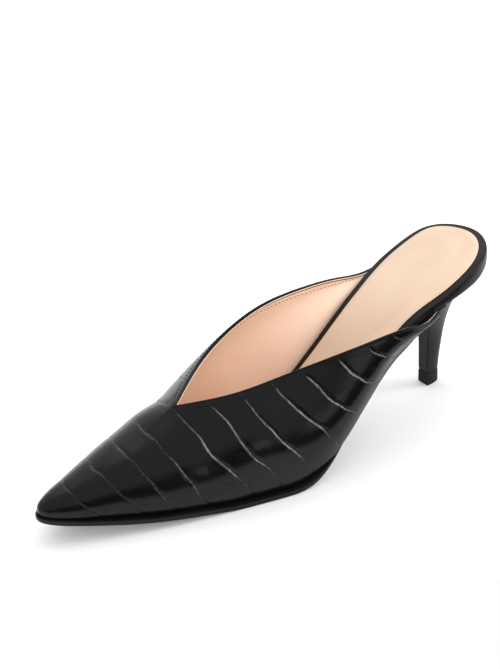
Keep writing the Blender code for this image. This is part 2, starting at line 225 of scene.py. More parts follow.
def wall(x, side, t):
    # Sections of the upper's wall over x, from its foot (t 0) to the topline or the ridge (t 1): cubic
    # curves with one handle at each end. t has one row for all sections, or one row for each.
    behind = np.minimum(x, throatX)
    ahead = np.maximum(x, throatX)
    high = np.where((x < throatX)[:, None], np.column_stack(topline(side, behind)), np.column_stack(crown(ahead)))
    foot = rim(turnOf(x), side, footReach)
    low = np.column_stack([foot[:, 1], footHeight(foot[:, 0])])
    leanFoot = np.radians(spline(leanRows[:, 0], leanRows[:, 1], x / length))
    leanCrown = np.radians(spline(leanRows[:, 0], leanRows[:, 2], behind / length))
    leanCrown += (math.pi / 2 - leanCrown) * ease((x - throatX) / shoe["vampLength"], -0.1, 0.2)
    span = np.linalg.norm(high - low, axis=1)
    rise = np.maximum(high[:, 1] - low[:, 1], wallShape["leastRise"] * span)
    footWay = np.column_stack([side * np.sin(leanFoot), np.cos(leanFoot)])
    crownWay = np.column_stack([-side * np.sin(leanCrown), np.cos(leanCrown)])
    lower = low + footWay * (wallShape["footHandle"] * rise)[:, None]
    upper = high - crownWay * (wallShape["crownHandle"] * span)[:, None]
    t = np.atleast_2d(t)[..., None]
    curve = (1 - t) ** 3 * low[:, None] + 3 * (1 - t) ** 2 * t * lower[:, None]
    curve = curve + 3 * (1 - t) * t**2 * upper[:, None] + t**3 * high[:, None]
    xWall = x[:, None] + (foot[:, 0] - x)[:, None] * (1 - t[..., 0]) ** 2
    return np.concatenate([xWall[..., None], curve], axis=2), span


def toFrame(points):
    return points - np.array([length * shoe["flatSpotMiddle"], 0, 0])


# Meshes

def unit(vectors):
    return vectors / np.maximum(np.linalg.norm(vectors, axis=-1, keepdims=True), 1e-12)


def gridQuads(rows, columns, wrap=False, flip=False):
    # Corner numbers of the quads of a grid; wrap joins the last column to the first.
    number = np.arange(rows * columns).reshape(rows, columns)
    right = np.roll(number, -1, axis=1) if wrap else number[:, 1:]
    left = number if wrap else number[:, :-1]
    quads = np.stack([left[:-1], right[:-1], right[1:], left[1:]], axis=-1).reshape(-1, 4)
    return quads[:, ::-1] if flip else quads


def weld(points, quads, *values):
    # Merges points closer than a ten-thousandth of a millimetre and drops quads that fall to a line.
    _, first, index = np.unique(np.round(points, 7), axis=0, return_index=True, return_inverse=True)
    quads = index.reshape(-1)[quads]
    ordered = np.sort(quads, axis=1)
    kept = (np.diff(ordered, axis=1) > 0).sum(axis=1) >= 2
    return (points[first], quads[kept], *(value[first] for value in values))


def pointNormals(points, quads):
    # Sum of the cross products of the diagonals of the quads round each point, made one long.
    across = np.cross(points[quads[:, 2]] - points[quads[:, 0]], points[quads[:, 3]] - points[quads[:, 1]])
    total = np.zeros_like(points)
    for corner in range(4):
        np.add.at(total, quads[:, corner], across)
    return unit(total)


def openEdges(quads):
    # Edges with a quad on one side only, in the direction in which that quad runs.
    edges = np.concatenate([quads[:, [k, (k + 1) % 4]] for k in range(4)])
    edges = edges[edges[:, 0] != edges[:, 1]]
    most = quads.max() + 1
    key = edges[:, 0] * most + edges[:, 1]
    back = edges[:, 1] * most + edges[:, 0]
    return edges[~np.isin(key, back)]


def shell(outer, inner, quads):
    # Closes two matching sheets into one solid: both sheets, and a strip along their open edges.
    count = len(outer)
    edges = openEdges(quads)
    strip = np.column_stack([edges[:, 1], edges[:, 0], edges[:, 0] + count, edges[:, 1] + count])
    return np.concatenate([outer, inner]), np.concatenate([quads, quads[:, ::-1] + count, strip])


def makeObject(name, points, quads, material, uv=None, attributes=None, smoothAngle=None):
    # Puts points and quads into a mesh; a quad with two equal corners becomes a triangle.
    pairs = quads != np.roll(quads, -1, axis=1)
    sizes = pairs.sum(axis=1)
    corners = quads[pairs]
    mesh = bpy.data.meshes.new(name)
    mesh.vertices.add(len(points))
    mesh.vertices.foreach_set("co", toFrame(points).astype(np.float32).ravel())
    mesh.loops.add(len(corners))
    mesh.loops.foreach_set("vertex_index", corners.astype(np.int32))
    mesh.polygons.add(len(sizes))
    starts = np.concatenate([[0], np.cumsum(sizes)[:-1]])
    mesh.polygons.foreach_set("loop_start", starts.astype(np.int32))
    mesh.polygons.foreach_set("loop_total", sizes.astype(np.int32))
    mesh.update(calc_edges=True)
    mesh.validate()
    if uv is not None:
        layer = mesh.uv_layers.new(name="UVMap")
        layer.data.foreach_set("uv", uv[corners].astype(np.float32).ravel())
    for key, values in (attributes or {}).items():
        attribute = mesh.attributes.new(key, "FLOAT", "POINT")
        attribute.data.foreach_set("value", values.astype(np.float32))
    mesh.shade_smooth()
    if smoothAngle is not None:
        mesh.set_sharp_from_angle(angle=math.radians(smoothAngle))
    mesh.materials.append(material)
    made = bpy.data.objects.new(name, mesh)
    bpy.context.scene.collection.objects.link(made)
    print(name, len(points), "points")
    return made


# Shader maths: each operator on a Value adds one Math node.

class Value:
    def __init__(self, tree, socket):
        self.tree = tree
        self.socket = socket

    def math(self, operation, *others, clamp=False):
        return self.tree.node("ShaderNodeMath", {"operation": operation, "use_clamp": clamp}, [self, *others])

    def __add__(self, other):
        return self.math("ADD", other)

    def __radd__(self, other):
        return self.math("ADD", other)

    def __mul__(self, other):
        return self.math("MULTIPLY", other)

    def __rmul__(self, other):
        return self.math("MULTIPLY", other)

    def __sub__(self, other):
        return self.math("SUBTRACT", other)

    def __rsub__(self, other):
        return self.tree.node("ShaderNodeMath", {"operation": "SUBTRACT"}, [other, self])

    def __truediv__(self, other):
        return self.math("DIVIDE", other)

    def __rtruediv__(self, other):
        return self.tree.node("ShaderNodeMath", {"operation": "DIVIDE"}, [other, self])

    def __pow__(self, other):
        return self.math("POWER", other)

    def __neg__(self):
        return self.math("MULTIPLY", -1.0)

    def __abs__(self):
        return self.math("ABSOLUTE")

    def step(self, low, high):
        # 0 below low, 1 above high, soft between.
        settings = {"interpolation_type": "SMOOTHSTEP"}
        return self.tree.node("ShaderNodeMapRange", settings, [self, low, high, 0.0, 1.0])

    def hill(self, middle, width):
        # 1 at middle, 0 from one width away on.
        return 1 - (abs(self - middle) / width).math("MINIMUM", 1.0).step(0, 1)


class Finish:
    # One material: its tree, and one method that adds any node.
    def __init__(self, name, **constants):
        self.material = bpy.data.materials.new(name)
        self.material.use_nodes = True
        self.nodes = self.material.node_tree.nodes
        self.links = self.material.node_tree.links
        self.shader = self.nodes["Principled BSDF"]
        for key, value in constants.items():
            self.shader.inputs[key].default_value = value

    def node(self, kind, settings=None, inputs=(), output=0):
        made = self.nodes.new(kind)
        for key, value in (settings or {}).items():
            setattr(made, key, value)
        pairs = inputs.items() if isinstance(inputs, dict) else enumerate(inputs)
        for key, value in pairs:
            self.connect(made.inputs[key], value)
        return Value(self, made.outputs[output])

    def connect(self, socket, value):
        if isinstance(value, Value):
            self.links.new(value.socket, socket)
        elif value is not None:
            socket.default_value = value

    def feed(self, **values):
        for key, value in values.items():
            self.connect(self.shader.inputs[key.replace("_", " ")], value)

    def place(self):
        return self.node("ShaderNodeTexCoord", output="Object")

    def uv(self):
        split = self.node("ShaderNodeSeparateXYZ", inputs=[self.node("ShaderNodeUVMap", {"uv_map": "UVMap"})])
        return split, Value(self, split.socket.node.outputs[1])

    def attribute(self, name):
        return self.node("ShaderNodeAttribute", {"attribute_name": name}, output="Fac")

    def noise(self, vector, scale, detail=2.0, roughness=0.5):
        return self.node("ShaderNodeTexNoise", {}, {"Vector": vector, "Scale": scale, "Detail": detail, "Roughness": roughness})

    def cells(self, vector, scale, feature="F1", randomness=1.0):
        settings = {"feature": feature}
        inputs = {"Vector": vector, "Scale": scale, "Randomness": randomness}
        return self.node("ShaderNodeTexVoronoi", settings, inputs, output="Distance")

    def stretched(self, vector, factors):
        return self.node("ShaderNodeVectorMath", {"operation": "MULTIPLY"}, [vector, factors])

    def mix(self, factor, low, high):
        made = self.nodes.new("ShaderNodeMix")
        made.data_type = "RGBA"
        for key, value in ((0, factor), (6, low), (7, high)):
            self.connect(made.inputs[key], value)
        return Value(self, made.outputs[2])

    def relief(self, height, distance, strength=1.0, under=None):
        return self.node("ShaderNodeBump", {}, {"Height": height, "Distance": distance, "Strength": strength, "Normal": under})


def embossedLeather(name, look):
    # Glossy embossed leather over a deep black: fine pores, hairline splits, painted highlights on the crease edges and
    # raised shoulders, painted shade in the creases.
    # UV: u counts the rows of plates, one for each crease, and v is the height up the wall in centimetres.
    finish = Finish(name, **{"Coat Weight": look["coat"], "Coat Roughness": look["coatRoughness"], "Specular IOR Level": look["specular"]})
    place = finish.place()
    row, _ = finish.uv()
    crease = finish.attribute("crease")
    ridge = finish.attribute("ridge")
    power = finish.attribute("power")
    split = finish.attribute("split")
    warp = finish.noise(place, look["warpScale"], 3) - 0.5
    jag = finish.noise(place, look["jagScale"], 2) - 0.5
    moved = row + warp * look["rowWarp"] + jag * look["jagWarp"]
    offset = moved - moved.math("ROUND")  # in rows behind the nearest crease
    patches = 0.4 + 0.6 * finish.noise(place, look["fadeScale"]).step(0.38, 0.58)
    # Painted highlight: pale lines just ahead of each crease, in patches, standing in for the light caught by the
    # crease walls; the same lines also lift the relief.
    line = offset.hill(-look["lineShift"], look["lineWidth"] * (0.35 + 0.95 * power)) * patches * power.step(0.12, 0.75)
    hairline = offset.hill(0.0, look["hairWidth"]) * patches
    crack = offset.hill(look["crackShift"], look["crackWidth"]) * finish.noise(place, look["crackScale"]).step(0.48, 0.6) * power
    across = abs(split + warp * look["splitWarp"])
    hairSplit = across.hill(0, look["splitWidth"])
    pores = finish.cells(place, look["poreScale"])
    grain = finish.noise(place, look["grainScale"], 3)
    wrinkle = finish.noise(finish.stretched(place, (0.5, 1.6, 1.0)), look["wrinkleScale"], 4, 0.6)
    height = 0.5 * line - 0.75 * hairline - 0.5 * crack - 0.45 * hairSplit + 0.08 * pores + 0.14 * grain + 0.22 * wrinkle
    normal = finish.relief(height, look["depth"], look["strength"])
    # Painted shade: darker colour down in the crease troughs.
    tone = finish.mix(crease.step(0.1, 0.9), look["colour"], look["paintedCreaseShade"])
    # Painted highlight: lighter colour on the raised shoulders beside the creases.
    tone = finish.mix(ridge.step(0.2, 1.0) * 0.5, tone, look["paintedShoulderHighlight"])
    # Painted highlight: the pale crease lines laid over the colour.
    tone = finish.mix(line, tone, look["paintedHighlightColour"])
    rough = look["roughness"] + 0.14 * (wrinkle - 0.5) + 0.14 * crease - 0.05 * ridge
    finish.feed(Base_Color=tone, Roughness=rough, Normal=normal)
    return finish.material


def smoothLeather(name, look):
    # Smooth leather: clouded colour, pores and fine wrinkles.
    finish = Finish(name, **{"Coat Weight": look["coat"], "Coat Roughness": look["coatRoughness"], "Specular IOR Level": look["specular"]})
    place = finish.place()
    cloud = finish.noise(place, look["cloudScale"], 3)
    pores = finish.cells(place, look["poreScale"])
    wrinkle = finish.noise(finish.stretched(place, look["stretch"]), look["wrinkleScale"], 4, 0.6)
    shade = cloud.step(0.3, 0.7)
    tone = finish.mix(shade, look["colour"], look["otherColour"])
    normal = finish.relief(0.4 * pores + 0.6 * wrinkle, look["depth"], look["strength"])
    rough = look["roughness"] + look["roughSpread"] * (wrinkle - 0.5)
    finish.feed(Base_Color=tone, Roughness=rough, Normal=normal)
    return finish.material


# Black embossed leather. Its crease colour is painted shade, and its edge and line colours are painted highlights.
black = {
    "colour": (0.0034, 0.0033, 0.0036, 1), "paintedCreaseShade": (0.002, 0.002, 0.002, 1), "paintedShoulderHighlight": (0.009, 0.009, 0.0095, 1),
    "paintedHighlightColour": (0.20, 0.20, 0.205, 1), "roughness": 0.24, "coat": 0.10, "coatRoughness": 0.12, "specular": 0.19,
    "warpScale": 140.0, "rowWarp": 0.08, "jagScale": 520.0, "jagWarp": 0.035, "hairWidth": 0.030, "fadeScale": 110.0,
    "lineShift": 0.030, "lineWidth": 0.046, "crackShift": 0.075, "crackWidth": 0.018, "crackScale": 160.0,
    "splitWarp": 0.6, "splitWidth": 0.30, "poreScale": 2200.0, "grainScale": 900.0, "wrinkleScale": 260.0,
    "depth": 0.0005, "strength": 0.55,
}
wrapLook = {
    "colour": (0.0036, 0.0035, 0.0037, 1), "otherColour": (0.0052, 0.005, 0.0052, 1),
    "roughness": 0.34, "roughSpread": 0.12, "coat": 0.04, "coatRoughness": 0.2, "specular": 0.13,
    "cloudScale": 60.0, "poreScale": 1800.0, "wrinkleScale": 300.0, "stretch": (1, 1, 0.5), "depth": 0.0002, "strength": 0.35,
}
edgeLook = {**wrapLook, "colour": (0.005, 0.0042, 0.004, 1), "otherColour": (0.008, 0.0066, 0.006, 1), "roughness": 0.38}
soleLook = {**wrapLook, "colour": (0.006, 0.006, 0.006, 1), "otherColour": (0.009, 0.009, 0.009, 1), "roughness": 0.4, "coat": 0.1}
rubberLook = {**wrapLook, "colour": (0.006, 0.006, 0.006, 1), "otherColour": (0.009, 0.009, 0.009, 1), "roughness": 0.55, "coat": 0.0}
liningLook = {
    "colour": (0.95, 0.66, 0.49, 1), "otherColour": (0.97, 0.71, 0.54, 1),
    "roughness": 0.45, "roughSpread": 0.10, "coat": 0.05, "coatRoughness": 0.35, "specular": 0.4,
    "cloudScale": 35.0, "poreScale": 1600.0, "wrinkleScale": 220.0, "stretch": (1, 1, 1), "depth": 0.00015, "strength": 0.3,
}
sockLook = {**liningLook, "colour": (0.625, 0.450, 0.320, 1), "otherColour": (0.66, 0.490, 0.355, 1), "roughness": 0.42}
threadLook = {**wrapLook, "colour": (0.004, 0.004, 0.004, 1), "otherColour": (0.008, 0.008, 0.008, 1), "roughness": 0.6, "coat": 0.0}
nudeThreadLook = {**threadLook, "colour": (0.42, 0.22, 0.13, 1), "otherColour": (0.5, 0.28, 0.17, 1)}

crocLeather = embossedLeather("crocLeather", black)
wrapLeather = smoothLeather("wrapLeather", wrapLook)
edgeLeather = smoothLeather("edgeLeather", edgeLook)
soleLeather = smoothLeather("soleLeather", soleLook)
tipRubber = smoothLeather("tipRubber", rubberLook)
liningLeather = smoothLeather("liningLeather", liningLook)
sockLeather = smoothLeather("sockLeather", sockLook)
blackThread = smoothLeather("blackThread", threadLook)
nudeThread = smoothLeather("nudeThread", nudeThreadLook)
print("materials made")


# The upper

upperSkin = {
    "rowStep": 0.00045,
    "columns": 104,
    "skinThick": 0.0011,
    "troughWidth": 0.00066,
    "troughDepth": 0.00072,
    "shoulderShift": 0.0009,
    "shoulderWidth": 0.0006,
    "shoulderHeight": 0.00018,
    "pillow": 0.00010,
    "pillowReach": 0.0020,
    "splitDepth": 0.00004,
}

# Creases of the embossed rows from the toe back: where each lies along the shoe at five heights up the wall
creaseHeights = np.array([0.0, 0.25, 0.50, 0.75, 1.0])
creaseRows = {
    1: np.array([
        (0.965, 0.972, 0.978, 0.982, 0.985), (0.905, 0.922, 0.933, 0.939, 0.943), (0.836, 0.855, 0.869, 0.879, 0.886),
        (0.778, 0.799, 0.814, 0.824, 0.831), (0.722, 0.744, 0.760, 0.772, 0.778), (0.640, 0.664, 0.696, 0.709, 0.722),
        (0.585, 0.609, 0.642, 0.653, 0.668), (0.522, 0.545, 0.576, 0.599, 0.614), (0.462, 0.484, 0.505, 0.532, 0.556),
        (0.410, 0.432, 0.455, 0.476, 0.498), (0.360, 0.379, 0.398, 0.417, 0.438), (0.312, 0.327, 0.343, 0.361, 0.386),
        (0.268, 0.281, 0.295, 0.312, 0.334), (0.232, 0.242, 0.254, 0.268, 0.288), (0.19, 0.20, 0.21, 0.225, 0.24),
    ]),
    -1: np.array([
        (0.965, 0.972, 0.978, 0.982, 0.985), (0.912, 0.925, 0.935, 0.940, 0.943), (0.848, 0.862, 0.874, 0.882, 0.886),
        (0.790, 0.806, 0.818, 0.827, 0.831), (0.730, 0.750, 0.766, 0.775, 0.778), (0.664, 0.684, 0.703, 0.714, 0.722),
        (0.598, 0.618, 0.640, 0.655, 0.668), (0.530, 0.552, 0.576, 0.596, 0.612), (0.468, 0.490, 0.510, 0.534, 0.554),
        (0.412, 0.434, 0.456, 0.478, 0.500), (0.358, 0.379, 0.400, 0.420, 0.442), (0.308, 0.326, 0.345, 0.366, 0.390),
        (0.262, 0.278, 0.295, 0.316, 0.338), (0.224, 0.236, 0.250, 0.268, 0.288), (0.17, 0.18, 0.19, 0.205, 0.22),
    ]),
}

# How deep each crease is at the same five heights
creaseDepths = np.array([
    (0.0, 0.0, 0.0, 0.0, 0.0), (0.05, 0.15, 0.18, 0.20, 0.22), (0.05, 0.18, 0.20, 0.22, 0.30),
    (0.05, 0.30, 0.25, 0.25, 0.35), (0.05, 0.35, 0.40, 0.25, 0.35), (0.05, 0.30, 1.00, 0.60, 0.25),
    (0.05, 0.28, 1.00, 0.85, 0.30), (0.05, 0.25, 0.95, 0.90, 0.35), (0.05, 0.20, 0.75, 1.00, 0.40),
    (0.05, 0.25, 0.60, 1.00, 0.45), (0.05, 0.20, 0.45, 0.90, 0.50), (0.05, 0.15, 0.30, 0.55, 0.40),
    (0.05, 0.15, 0.25, 0.30, 0.25), (0.05, 0.10, 0.15, 0.20, 0.15), (0.0, 0.0, 0.0, 0.0, 0.0),
])

# Long splits across each row of plates, as heights up the wall, from the toe back
plateSplits = np.array([
    (0.20, 0.60), (0.24, 0.62), (0.22, 0.55), (0.27, 0.66), (0.25, 0.58), (0.24, 0.52), (0.20, 0.62),
    (0.27, 0.50), (0.24, 0.60), (0.33, 0.70), (0.30, 0.62), (0.36, 0.70), (0.40, 0.74), (0.45, 0.8), (0.5, 0.85),
])


def rowCoordinate(share, t, side):
    # Counts creases from the toe: between two creases it rises from one whole number to the next.
    table = creaseRows[side]
    places = np.stack([spline(creaseHeights, row, t) for row in table])
    places = places + 0.0008 * np.sin(t * 23 + 1.7 * np.arange(len(table))[:, None, None] ** 1.3)
    count = np.zeros_like(share)
    for ahead, behind in zip(places, places[1:]):
        count += np.clip((ahead - share) / (ahead - behind), 0, 1)
    return count


def tableAt(table, row, t):
    # Reads a table at a whole row number and between its columns.
    spot = np.clip(t, 0, 1) * (table.shape[1] - 1)
    low = np.minimum(spot.astype(int), table.shape[1] - 2)
    part = spot - low
    return table[row, low] * (1 - part) + table[row, low + 1] * part


def slopeLength(grid, values):
    # Size of the values' gradient over the surface, from the two directions of the grid.
    a, b = np.gradient(grid, axis=0), np.gradient(grid, axis=1)
    da, db = np.gradient(values, axis=0), np.gradient(values, axis=1)
    aa, bb, ab = (a * a).sum(-1), (b * b).sum(-1), (a * b).sum(-1)
    area = np.maximum(aa * bb - ab**2, 1e-18)
    return np.sqrt(np.maximum(da**2 * bb - 2 * da * db * ab + db**2 * aa, 0) / area)


def upperGrid(side, rowStep, columns):
    # Half of the outer skin: rows over x from the wing's end to the toe, columns up the wall.
    end = shoe["wingEnds"][side] * length
    behind = np.linspace(end, throatX, max(8, round((throatX - end) / rowStep)))
    ahead = np.linspace(turnOf(throatX), 1, max(8, round(shoe["vampLength"] / rowStep)))
    x = np.concatenate([behind[:-1], length * (1 - np.cos(math.pi * ahead)) / 2])
    t = np.linspace(0, 1, columns)
    grid, span = wall(x, side, t)
    share = np.broadcast_to(x[:, None] / length, grid.shape[:2])
    return grid, share, np.broadcast_to(t, grid.shape[:2])


def reliefOf(grid, share, t, side):
    # Height of the embossed relief, and the masks of the creases and of their raised shoulders.
    count = rowCoordinate(share, t, side)
    slope = np.maximum(slopeLength(grid, count), 20)
    nearest = np.rint(count).astype(int)
    offset = (count - nearest) / slope  # metres behind the crease
    jag = np.sin(t * 61 + 2.1 * nearest) + 0.6 * np.sin(t * 137 + 4.3 * nearest) + 0.4 * np.sin(t * 263 + nearest)
    offset = offset + 0.00011 * jag * ease(count, 2.5, 4.5)
    strength = tableAt(creaseDepths, np.clip(nearest, 0, 14), t) * (1 + 0.18 * np.sin(t * 93 + 3.3 * nearest))
    fade = ease(share, 0.19, 0.26)
    trough = bump(offset, 0, upperSkin["troughWidth"]) * strength * fade
    shoulder = bump(offset, -upperSkin["shoulderShift"], upperSkin["shoulderWidth"]) * strength * fade
    pillow = (1 - np.exp(-np.abs(offset) / upperSkin["pillowReach"])) * fade
    splits = plateSplits[np.clip(np.floor(count).astype(int), 0, 14)]
    wallLength = np.linalg.norm(np.diff(grid, axis=1), axis=2).sum(axis=1)[:, None]
    split = np.abs(t[..., None] - splits).min(axis=2) * wallLength * 1000
    pieces = ease(np.sin(count * 7.3 + 1.1 * splits[..., 0] * 40), 0.1, 0.7)  # short lengths of each split
    groove = bump(split, 0, 0.5) * pieces * fade
    rimFade = 1 - ease(t, 0.925, 0.965) * (1 - ease(share * length, throatX, throatX + 0.010))
    height = -upperSkin["troughDepth"] * trough + upperSkin["shoulderHeight"] * shoulder
    height += upperSkin["pillow"] * (pillow - 0.5) - upperSkin["splitDepth"] * groove
    power = strength * fade * rimFade
    return height * rimFade, trough * rimFade, shoulder * rimFade, count, split + 3 * (1 - pieces), power


def makeUpper():
    parts = []
    for side in (1, -1):
        grid, share, t = upperGrid(side, upperSkin["rowStep"], upperSkin["columns"])
        rows, columns = grid.shape[:2]
        height, crease, ridge, count, split, power = reliefOf(grid, share, t, side)
        uv = np.stack([count, t * 4.5 * side], axis=-1)
        values = np.stack([height, crease, ridge, split, power], axis=-1)
        parts.append((grid.reshape(-1, 3), gridQuads(rows, columns, flip=side < 0), uv.reshape(-1, 2), values.reshape(-1, 5)))
    offset = len(parts[0][0])
    points = np.concatenate([parts[0][0], parts[1][0]])
    quads = np.concatenate([parts[0][1], parts[1][1] + offset])
    uv = np.concatenate([parts[0][2], parts[1][2]])
    values = np.concatenate([parts[0][3], parts[1][3]])
    points, quads, uv, values = weld(points, quads, uv, values)
    normals = pointNormals(points, quads)
    outer = points + normals * values[:, :1]
    inner = points - normals * upperSkin["skinThick"]
    solid, faces = shell(outer, inner, quads)
    both = np.concatenate([values, values])
    attributes = {"crease": both[:, 1], "ridge": both[:, 2], "split": both[:, 3], "power": both[:, 4]}
    upper = makeObject("upperLeather", solid, faces, crocLeather, uv=np.concatenate([uv, uv]), attributes=attributes, smoothAngle=60)
    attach(upper, "root")
    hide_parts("upper")


def makeLining():
    parts = []
    for side in (1, -1):
        grid, share, t = upperGrid(side, 0.0012, 44)
        rows, columns = grid.shape[:2]
        parts.append((grid.reshape(-1, 3), gridQuads(rows, columns, flip=side < 0)))
    points = np.concatenate([parts[0][0], parts[1][0]])
    quads = np.concatenate([parts[0][1], parts[1][1] + len(parts[0][0])])
    points, quads = weld(points, quads)
    normals = pointNormals(points, quads)
    solid, faces = shell(points - normals * (upperSkin["skinThick"] + 0.00005), points - normals * shoe["upperWall"], quads)
    lining = makeObject("upperLining", solid, faces, liningLeather, smoothAngle=60)
    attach(lining, "root")


makeUpper()
makeLining()


# Swept bands, stitches and plates

def sweep(centres, outs, ups, profile):
    # Carries a closed profile of (out, up) pairs along a path, with a frame at each of its points.
    profile = np.asarray(profile)
    return centres[:, None] + outs[:, None] * profile[None, :, :1] + ups[:, None] * profile[None, :, 1:]


def roundedBox(halfOut, halfUp, radius, steps=4):
    # Closed profile: a box with rounded corners, anticlockwise.
    angles = np.linspace(0, math.pi / 2, steps)
    corners = []
    for k, (a, b) in enumerate(((1, 1), (-1, 1), (-1, -1), (1, -1))):
        turn = angles + k * math.pi / 2
        corners.append(np.column_stack([
            a * (halfOut - radius) + radius * np.cos(turn), b * (halfUp - radius) + radius * np.sin(turn)]))
    return np.concatenate(corners)


def wallFrame(x, side, t):
    # Point, outward normal and up direction of the wall at pairs of x and t.
    step = 1e-4
    t = np.broadcast_to(t, x.shape)
    both, _ = wall(x, side, np.column_stack([t - step, t, t + step]))
    nearby, _ = wall(x + 1e-5, side, t[:, None])
    before, _ = wall(x - 1e-5, side, t[:, None])
    up = unit(both[:, 2] - both[:, 0])
    along = unit(nearby[:, 0] - before[:, 0])
    out = unit(np.cross(up, along)) * side
    return both[:, 1], out, up


foldedEdge = {"tall": 0.0017, "thick": 0.00195, "radius": 0.0008, "points": 260, "endTurn": 0.05}


def makeFoldedEdge(side):
    # The leather turned over along the topline, then down the end of the wing.
    end = shoe["wingEnds"][side] * length
    share = np.linspace(0, 1, foldedEdge["points"])
    x = throatX - 0.0002 + (end + 0.0006 - throatX) * share
    point, out, up = wallFrame(x, side, np.ones_like(x))
    centre = point - out * (shoe["upperWall"] / 2) - up * (foldedEdge["tall"] / 2 - 0.0002)
    profile = roundedBox(foldedEdge["thick"] / 2, foldedEdge["tall"] / 2, foldedEdge["radius"])
    grid = sweep(centre, out, up, profile)
    grid[..., 1] = np.where(side * grid[..., 1] < 0.00002, side * 0.00002, grid[..., 1])
    caps = [np.broadcast_to(grid[k].mean(axis=0), grid[k].shape)[None] for k in (0, -1)]
    grid = np.concatenate([caps[0], grid, caps[1]])
    points, quads = weld(grid.reshape(-1, 3), gridQuads(*grid.shape[:2], wrap=True, flip=side < 0))
    name = "foldedEdgeOuter" if side > 0 else "foldedEdgeInner"
    made = makeObject(name, points, quads, wrapLeather, smoothAngle=50)
    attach(made, "root")


makeFoldedEdge(1)
makeFoldedEdge(-1)


def makeStitches(name, side, depth, drop, material, pitch=0.0021, long=0.0013, thick=0.00022, lift=0.0):
    # A row of threads along the topline: small spindles, drop below the edge and depth inside the skin.
    end = shoe["wingEnds"][side] * length
    path = np.linspace(throatX - 0.004, end + 0.006, 900)
    _, span = wall(path, side, np.ones((len(path), 1)))
    t = 1 - drop / (3 * wallShape["crownHandle"] * span)
    point, out, up = wallFrame(path, side, t)
    gone = np.concatenate([[0], np.cumsum(np.linalg.norm(np.diff(point, axis=0), axis=1))])
    at = np.arange(0, gone[-1], pitch)
    centre = np.column_stack([np.interp(at, gone, point[:, k]) for k in range(3)])
    outward = unit(np.column_stack([np.interp(at, gone, out[:, k]) for k in range(3)]))
    ahead = unit(np.column_stack([np.interp(at + 1e-4, gone, point[:, k]) for k in range(3)]) - centre + 1e-12)
    across = unit(np.cross(outward, ahead))
    outward = np.cross(ahead, across)
    centre = centre - outward * depth
    u = np.linspace(-1, 1, 7)
    angle = np.linspace(0, 2 * math.pi, 7)[:-1]
    width = np.sqrt(np.clip(1 - u**4, 0, 1)) * thick
    local = np.stack([
        np.broadcast_to((u * long / 2)[:, None], (7, 6)),
        width[:, None] * np.cos(angle),
        width[:, None] * np.sin(angle) - (u**2)[:, None] * thick * 0.8 + lift], axis=-1).reshape(-1, 3)
    points = centre[:, None] + local[None, :, :1] * ahead[:, None] + local[None, :, 1:2] * across[:, None] + local[None, :, 2:] * outward[:, None]
    quads = gridQuads(7, 6, wrap=True)
    quads = (quads[None] + (np.arange(len(centre)) * 42)[:, None, None]).reshape(-1, 4)
    points, quads = weld(points.reshape(-1, 3), quads)
    made = makeObject(name, points, quads, material)
    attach(made, "root")


for side, place in ((1, "Outer"), (-1, "Inner")):
    makeStitches("edgeStitches" + place, side, -0.00005, 0.0034, blackThread)
    makeStitches("liningStitches" + place, side, shoe["upperWall"] + 0.00005, 0.0036, nudeThread)


def makePlate(name, turns, profile, under, over, material, shape=None, smoothAngle=50):
    # A closed plate along the shoe's bottom. Each section runs round its profile: reach from the outline,
    # share of the way to the medial side, and share of the height, with shape adding to the height.
    reach, across, up = (np.array(column) for column in zip(*profile))
    sides = {side: np.stack([rim(turns, side, value) for value in reach], axis=1) for side in (1, -1)}
    plan = sides[1] * (1 - across)[None, :, None] + sides[-1] * across[None, :, None]
    x = plan[..., 0]
    z = under(x.ravel()).reshape(x.shape) * (1 - up) + over(x.ravel()).reshape(x.shape) * up
    grid = np.concatenate([plan, z[..., None]], axis=2)
    if shape:
        grid = shape(grid, np.broadcast_to(across, x.shape), np.broadcast_to(up, x.shape))
    points, quads = weld(grid.reshape(-1, 3), gridQuads(*grid.shape[:2], wrap=True, flip=True))
    made = makeObject(name, points, quads, material, smoothAngle=smoothAngle)
    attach(made, "root")
    return made


def plateProfile(edge, reach, across):
    # Lateral edge upwards, top across, medial edge downwards, underside back. edge holds (out, up) pairs.
    def moved(out):
        return lambda x: reach(x) + out

    steps = np.linspace(0, 1, across)[1:-1]
    lateral = [(moved(out), 0.0, up) for out, up in edge]
    top = [(moved(edge[-1][0]), w, 1.0) for w in steps]
    medial = [(moved(out), 1.0, up) for out, up in edge[::-1]]
    bottom = [(moved(edge[0][0]), w, 0.0) for w in steps[::-1]]
    return lateral + top + medial + bottom


def roundEdge(outLow, outHigh, low, high, steps=5):
    # (out, up) pairs of an edge that is rounded at its foot and at its top.
    angle = np.linspace(0, math.pi / 2, steps)
    foot = [(outLow * (1 - math.sin(a)), low * (1 - math.cos(a))) for a in angle]
    head = [(outHigh * (1 - math.cos(a)), 1 - high * (1 - math.sin(a))) for a in angle]
    return foot + head


def drawBack(grid, amount, start):
    x = grid[..., 0]
    moved = x - amount * ease(x / length, start, 1)
    grid[..., 2] += (boardTop(moved.ravel()) - boardTop(x.ravel())).reshape(x.shape)
    grid[..., 0] = moved
    return grid


plateTurns = np.linspace(0, 1, 260)
boardEdge = roundEdge(-0.0010, -0.0009, 0.25, 0.25)
soleEdge = roundEdge(-0.0007, -0.0003, 0.3, 0.2)
sockEdge = [(0.0, 0.0), (0.0, 0.2), (-0.0003, 0.45), (-0.0009, 0.72), (-0.0017, 0.90), (-0.0028, 1.0)]


def boardShape(grid, across, up):
    return drawBack(grid, shoe["boardPointBack"], 0.80)


